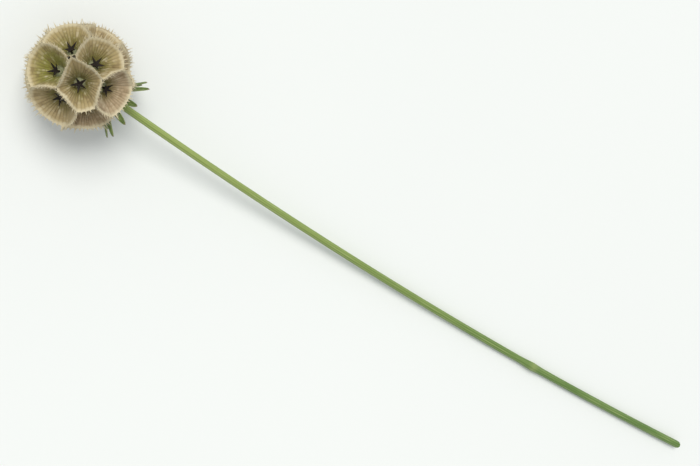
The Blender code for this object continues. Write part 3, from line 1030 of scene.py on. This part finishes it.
def green_finish(green):
    """Soft leaf green with a paler midrib and edge, finely veined."""
    leaf = Finish("bract green", roughness=0.58, gloss=0.35, sheen=0.15)
    along, wide = leaf.values("along", "wide")
    patch = leaf.place.noise(420.0, 3.0)
    light = tinted(green, 2.0, 1.55, 2.0)
    colour = patch.between(0.3, 0.7).blend(tinted(green, 0.55, 0.55, 0.55), green)
    pale = wide.between(0.24, 0.04) * 0.75 + wide.between(0.8, 1.0) * 0.5
    colour = pale.blend(colour, light)
    colour = along.between(0.95, 1.02).blend(colour, BRACT_TIP_BROWN)
    colour = along.between(0.3, 0.0).blend(colour, light)
    leaf.wear("Base Color", colour)
    leaf.bump(leaf.place.noise(1500.0, 3.0), 0.18 * MM)
    return leaf.material


class Bract:
    """One bract's place round the stem, its width, the length of its tip and the wave of its edges."""

    def __init__(self, index, width, chance, dice):
        place = index + 0.5 + chance.uniform(-BRACT_JITTER, BRACT_JITTER)
        self.scale = 1 + chance.uniform(-BRACT_VARIATION, BRACT_VARIATION)
        azimuth = tau * place / BRACT_COUNT
        self.outward = Vector((cos(azimuth), sin(azimuth), 0))
        self.wave = dice.uniform(0, tau)
        self.width = width

    def point(self, t, wide):
        """A point of the bract: t runs from root to tip, and wide from one edge at -1 to the other at 1."""
        outward = self.outward
        across = Vector((-outward.y, outward.x, 0))
        root, bend, tip = (Vector((out, -down)) * MM for out, down in (BRACT_ROOT, BRACT_BEND, BRACT_TIP))
        tip = bend + (tip - bend) * self.scale
        place = root * (1 - t) ** 2 + bend * 2 * t * (1 - t) + tip * t ** 2
        heading = ((bend - root) * (1 - t) + (tip - bend) * t).normalized()
        normal = outward * -heading.y + Vector((0, 0, heading.x))
        half_width = self.width * (BRACT_ROOT_SHARE + BRACT_SWELL * t) * sqrt(1 - t) / 2
        half_width = max(half_width, BRACT_LEAST_WIDTH)
        fold = BRACT_FOLD * half_width * abs(wide) ** 1.5
        ripple = BRACT_RIPPLE * sin(self.wave + BRACT_RIPPLES * t) * wide ** 2 * sin(pi * t)
        midrib = BRACT_MIDRIB * exp(-(wide / BRACT_MIDRIB_SHARE) ** 2)
        middle = outward * place.x + Vector((0, 0, place.y))
        return middle + across * (wide * half_width) + normal * (fold + ripple - midrib)

    def leaf(self, thickness):
        """The lance-shaped bract, from a grid bent along its line."""
        columns, rows = BRACT_GRID
        bpy.ops.mesh.primitive_grid_add(x_subdivisions=columns, y_subdivisions=rows, size=1.0)
        leaf = bpy.context.object
        along, wide = [], []
        for vertex in leaf.data.vertices:
            along.append(vertex.co.y + 0.5)
            wide.append(abs(2 * vertex.co.x))
            vertex.co = in_world(self.point(along[-1], 2 * vertex.co.x))
        give(leaf.data, along=along, wide=wide)
        modify(leaf, "SOLIDIFY", thickness=thickness, offset=0.0)
        return leaf

    def strands(self, dice):
        """Short hairs along both edges."""
        count, lengths, width = BRACT_HAIRS
        for _ in range(count):
            t = dice.uniform(0.08, 0.95)
            edge = dice.choice((-1, 1))
            root = self.point(t, edge * dice.uniform(0.85, 1.0))
            sideways = (root - self.point(t, edge * 0.7)).normalized()
            ahead = (self.point(t + 0.02, edge * 0.9) - root).normalized()
            lean = (sideways + ahead * 0.5).normalized()
            lean = (lean + Vector((0, 0, 1)) * dice.uniform(-0.5, 0.3)).normalized()
            yield hair(root, lean, dice.uniform(*lengths) * MM, width)


def collar_piece():
    """The green collar at the foot of the head, ribbed where the bracts grow from it."""
    profile = [(radius * MM, -height * MM) for radius, height in COLLAR_PROFILE]
    collar = drawn_up(COLLAR_SIDES, profile, filled=False)
    edit_all()
    bpy.ops.mesh.remove_doubles(threshold=0.001 * MM)
    bpy.ops.mesh.normals_make_consistent()
    bpy.ops.object.mode_set(mode="OBJECT")
    for vertex in collar.data.vertices:
        angle, reach, height = polar(vertex.co)
        swell = 1 + COLLAR_RIB_HEIGHT * cos(COLLAR_RIBS * angle) * (reach > COLLAR_BORE)
        vertex.co = in_world(Vector((vertex.co.x * swell, vertex.co.y * swell, height)))
    give(collar.data, along=0.25, wide=0.5)
    return collar


class SCABIOSA_OT_involucre(bpy.types.Operator):
    """Model the whorl of pointed bracts below the head and the collar that they grow from"""

    bl_idname = "scabiosa.involucre"
    bl_label = "Bracts and collar"
    bl_options = {"REGISTER", "UNDO"}

    def execute(self, context):
        sizes = context.scene.scabiosa_greens
        green = green_finish(sizes.bract_colour)
        chance = random.Random(SEED)
        dice = random.Random(f"{SEED} bracts")
        strands = []
        for index in range(BRACT_COUNT):
            bract = Bract(index, sizes.bract_width, chance, dice)
            leaf = bract.leaf(sizes.bract_thickness)
            finish_piece(leaf, f"bract_{index + 1:02d}", green, GREENS, 50)
            strands += bract.strands(dice)
        finish_piece(collar_piece(), "collar", green, GREENS, 40)
        down = down_finish("bract down", GREEN_DOWN)
        finish_piece(hairs(strands), "bract_hairs", down, GREENS)
        return {"FINISHED"}


def from_joint(distance):
    return distance - STEM_JOINT_PLACE * STEM_LENGTH


def stem_radius(distance):
    radius = STEM_TOP_RADIUS + (STEM_END_RADIUS - STEM_TOP_RADIUS) * distance / STEM_LENGTH
    return radius + STEM_JOINT_SWELL * exp(-(from_joint(distance) / STEM_JOINT_SPAN) ** 2)


def stem_centre(distance):
    """The stem's centre line: it comes down from the head and then lies along the surface."""
    touch = 2 * (HEAD_HEIGHT / MM - STEM_END_RADIUS) / tan(STEM_DROP)
    left = max(touch - distance, 0.0)
    height = stem_radius(distance) * (1 - left / touch)
    height += STEM_END_RADIUS * left / touch
    height += tan(STEM_DROP) / (2 * touch) * left ** 2
    return Vector((distance, STEM_BOW * (distance / STEM_LENGTH) ** 2, height))


def stem_heading(distance):
    return (stem_centre(distance + 0.5) - stem_centre(distance - 0.5)).normalized()


def stem_point(distance, angle, rise):
    """A point at a height over the stem's smooth surface, in the world and clear of what it lies on."""
    heading = stem_heading(distance)
    side = heading.cross(Vector((0, 0, 1))).normalized()
    offset = side * sin(angle) - side.cross(heading) * cos(angle)
    placed = Vector((HEAD_CENTRE.x, HEAD_CENTRE.y, 0))
    placed += (stem_centre(distance) + offset * (stem_radius(distance) + rise)) * MM
    placed.z = max(placed.z, FLOOR_GAP)
    return placed


def stem_piece():
    """The stem: drawn up from a circle, laid along its line, ribbed, jointed and cut off aslant."""
    start = PEG_TOP * cos(STEM_DROP)
    stem = drawn_up(STEM_SIDES, [(MM, ring * MM) for ring in range(STEM_RINGS + 1)])
    values = {"along": [], "rib": [], "joint": [], "round_x": [], "round_y": []}
    for vertex in stem.data.vertices:
        angle, _, height = polar(vertex.co)
        share = height / (STEM_RINGS * MM)
        distance = start + (STEM_LENGTH - start) * share
        crest = 0.5 + 0.5 * cos(STEM_RIBS * angle + STEM_TWIST * share)
        ring = JOINT_RING_HEIGHT * exp(-(from_joint(distance) / JOINT_RING_SPAN) ** 2)
        dip = STEM_RIB_DEPTH * stem_radius(distance) * (1 - crest)
        vertex.co = stem_point(distance, angle, ring - dip)
        if share > 1 - 1e-4:
            slant = cos(angle) * stem_radius(distance) * tan(CUT_SLANT) * MM
            vertex.co -= stem_heading(distance) * slant
            vertex.co.z = max(vertex.co.z, FLOOR_GAP)
        values["along"].append(share)
        values["rib"].append(crest)
        values["joint"].append(exp(-(from_joint(distance) / JOINT_PALE_SPAN) ** 2))
        values["round_x"].append(cos(angle))
        values["round_y"].append(sin(angle))
    stem.data.flip_normals()
    give(stem.data, **values)
    return stem


def hollow_cut(stem):
    """Insets the cut face for its green skin and pale flesh, and sinks the hollow in its middle."""
    pick(stem)
    caps = [face for face in stem.data.polygons if len(face.vertices) == STEM_SIDES]
    end = max(caps, key=lambda face: face.center.x)
    for parts in (stem.data.vertices, stem.data.edges, stem.data.polygons):
        parts.foreach_set("select", [False] * len(parts))
    end.select = True
    bpy.context.tool_settings.mesh_select_mode = (False, False, True)
    bpy.ops.object.mode_set(mode="EDIT")
    bpy.ops.mesh.inset(thickness=CUT_SKIN)
    for share, depth in CUT_HOLLOW:
        bpy.ops.mesh.extrude_region_move(TRANSFORM_OT_translate={"value": (-depth, 0, 0)})
        bpy.ops.transform.resize(value=(share, share, share))
    for _ in CUT_HOLLOW:
        bpy.ops.mesh.select_more()
    bpy.ops.object.material_slot_assign()
    bpy.ops.object.mode_set(mode="OBJECT")


def stem_finish(sizes):
    """Fresh green skin, light near the head and deeper below, streaked along its ribs, with painted
    highlights on the rib crests and painted shade in the furrows.
    """
    skin = Finish("stem skin", roughness=0.45, gloss=0.4, sheen=0.1)
    along, rib, joint, round_x, round_y = skin.values("along", "rib", "joint", "round_x", "round_y")
    unrolled = {0: round_x, 1: round_y, 2: along * STREAKS_ALONG}
    streak = skin.start.node("ShaderNodeCombineXYZ", unrolled).noise(STREAKS_ROUND, 3.0)
    drift = (along + (skin.place.noise(14.0) - 0.5) * 0.25).between(0.02, 0.85)
    colour = drift.blend(sizes.stem_colour, sizes.foot_colour)
    # Paler streaks, stronger on the rib crests: partly real streaks, partly painted highlights
    colour = (streak.between(0.45, 0.7) * (0.15 + rib * 0.45)).blend(colour, PALE_STREAK_AND_HIGHLIGHT)
    # Painted shade darkening the furrows between the ribs
    furrow = rib.between(0.45, 0.0) * (0.35 + streak.between(0.6, 0.35) * 0.5)
    colour = furrow.blend(colour, FURROW_SHADE)
    colour = (joint * 0.6).blend(colour, JOINT_PALE)
    skin.wear("Base Color", colour)
    skin.bump(streak, 0.06 * MM)
    return skin.material


def pith_finish(colour):
    """Pale moist flesh of the cut, with fine cells."""
    pith = Finish("cut flesh", roughness=0.5, gloss=0.4)
    cells = pith.place.noise(3000.0).between(0.3, 0.7)
    pith.wear("Base Color", cells.blend(tinted(colour, 0.8, 0.8, 0.8), colour))
    pith.bump(cells, 0.025 * MM)
    return pith.material


def stem_strands(dice):
    """Short pale hairs, close together below the head and few further down."""
    count, lengths, width = STEM_HAIRS
    for _ in range(count):
        room = STEM_LENGTH - STEM_HAIRS_START - STEM_HAIRS_END
        distance = STEM_HAIRS_START + room * dice.random() ** STEM_HAIRS_CROWDING
        angle = dice.uniform(0, tau)
        height = dice.uniform(*lengths)
        drift = dice.uniform(-0.1, 0.3)
        root = stem_point(distance, angle, -0.1)
        middle = stem_point(distance + drift * 0.4, angle, height * 0.55)
        tip = stem_point(distance + drift, angle, height)
        yield root, middle, tip, width


class SCABIOSA_OT_stem(bpy.types.Operator):
    """Model the ribbed stem with its joint, its slanting cut and its short hairs"""

    bl_idname = "scabiosa.stem"
    bl_label = "Stem"
    bl_options = {"REGISTER", "UNDO"}

    def execute(self, context):
        sizes = context.scene.scabiosa_greens
        stem = stem_piece()
        finish_piece(stem, "stem_skin", stem_finish(sizes), STEM, 50)
        stem.data.materials.append(pith_finish(sizes.pith_colour))
        stem.active_material_index = 1
        hollow_cut(stem)
        down = down_finish("stem down", GREEN_DOWN)
        strands = stem_strands(random.Random(f"{SEED} stem hairs"))
        finish_piece(hairs(strands), "stem_hairs", down, STEM)
        return {"FINISHED"}


class SCABIOSA_OT_stage(bpy.types.Operator):
    """Set the pale floor, the soft light and the camera that looks down on the flower"""

    bl_idname = "scabiosa.stage"
    bl_label = "Stage"
    bl_options = {"REGISTER", "UNDO"}

    def execute(self, context):
        sizes = context.scene.scabiosa_stage
        self.add_floor(sizes)
        up = self.add_camera(context, sizes)
        self.add_light(context, sizes, up)
        return {"FINISHED"}

    def add_floor(self, sizes):
        bpy.ops.mesh.primitive_plane_add(size=FLOOR_SIZE)
        floor = bpy.context.object
        floor.name = "floor"
        pale = Finish("pale floor", roughness=0.8, gloss=0.2)
        shade = tinted(sizes.floor_colour, 0.985, 0.985, 0.985)
        cloud = pale.place.noise(3.0).between(0.3, 0.7)
        pale.wear("Base Color", cloud.blend(shade, sizes.floor_colour))
        floor.data.materials.append(pale.material)

    def add_camera(self, context, sizes):
        """The camera stands over the head and leans towards the stem, which runs down to the right."""
        place = HEAD_CENTRE + Vector((0, 0, sizes.camera_height))
        target = Vector(sizes.aim)
        forward = (target - place).normalized()
        along = Vector((1, 0, 0))
        along = (along - forward * along.dot(forward)).normalized()
        beside = (-forward).cross(along)
        right = along * cos(sizes.roll) + beside * sin(sizes.roll)
        up = beside * cos(sizes.roll) - along * sin(sizes.roll)
        turn = Matrix((right, up, -forward)).transposed().to_euler()
        bpy.ops.object.camera_add(location=place, rotation=turn)
        camera = bpy.context.object
        camera.data.lens = sizes.lens
        camera.data.clip_start = 0.01
        context.scene.camera = camera
        return up

    def add_light(self, context, sizes, up):
        context.scene.view_settings.view_transform = "Standard"
        world = bpy.data.worlds.new("soft sky")
        world.use_nodes = True
        background = world.node_tree.nodes["Background"]
        background.inputs["Color"].default_value = SKY_TINT
        background.inputs["Strength"].default_value = sizes.sky_strength
        context.scene.world = world
        beam = Vector((0.0, 0.0, -KEY_DROP)) - up * KEY_LEAN
        turn = beam.to_track_quat("-Z", "Y").to_euler()
        bpy.ops.object.light_add(type="SUN", location=-beam, rotation=turn)
        key = bpy.context.object.data
        key.energy = sizes.key_strength
        key.angle = KEY_SOFTNESS
        key.color = KEY_TINT


class SCABIOSA_PT_sidebar(bpy.types.Panel):
    """Lists the flower's pieces and their sizes"""

    bl_idname = "SCABIOSA_PT_sidebar"
    bl_label = "Scabiosa flower"
    bl_space_type = "VIEW_3D"
    bl_region_type = "UI"
    bl_category = "Scabiosa"

    def draw(self, context):
        for group in PROPERTY_HOMES:
            box = self.layout.box()
            settings = getattr(context.scene, group)
            for name in settings.__annotations__:
                box.prop(settings, name)
        for step in STEPS:
            self.layout.operator(step.bl_idname)


PROPERTY_HOMES = {
    "scabiosa_cups": CupSizes,
    "scabiosa_stars": StarSizes,
    "scabiosa_greens": GreenSizes,
    "scabiosa_stage": StageSizes,
}
STEPS = (
    SCABIOSA_OT_cups,
    SCABIOSA_OT_stars,
    SCABIOSA_OT_receptacle,
    SCABIOSA_OT_involucre,
    SCABIOSA_OT_stem,
    SCABIOSA_OT_stage,
)


def register():
    for home, group in PROPERTY_HOMES.items():
        bpy.utils.register_class(group)
        setattr(bpy.types.Scene, home, bpy.props.PointerProperty(type=group))
    for item in (*STEPS, SCABIOSA_PT_sidebar):
        bpy.utils.register_class(item)


def unregister():
    for item in (SCABIOSA_PT_sidebar, *reversed(STEPS)):
        bpy.utils.unregister_class(item)
    for home, group in PROPERTY_HOMES.items():
        delattr(bpy.types.Scene, home)
        bpy.utils.unregister_class(group)


def main():
    register()
    bpy.ops.scabiosa.cups()
    bpy.ops.scabiosa.stars()
    bpy.ops.scabiosa.receptacle()
    bpy.ops.scabiosa.involucre()
    bpy.ops.scabiosa.stem()
    bpy.ops.scabiosa.stage()


if __name__ == "__main__":
    main()
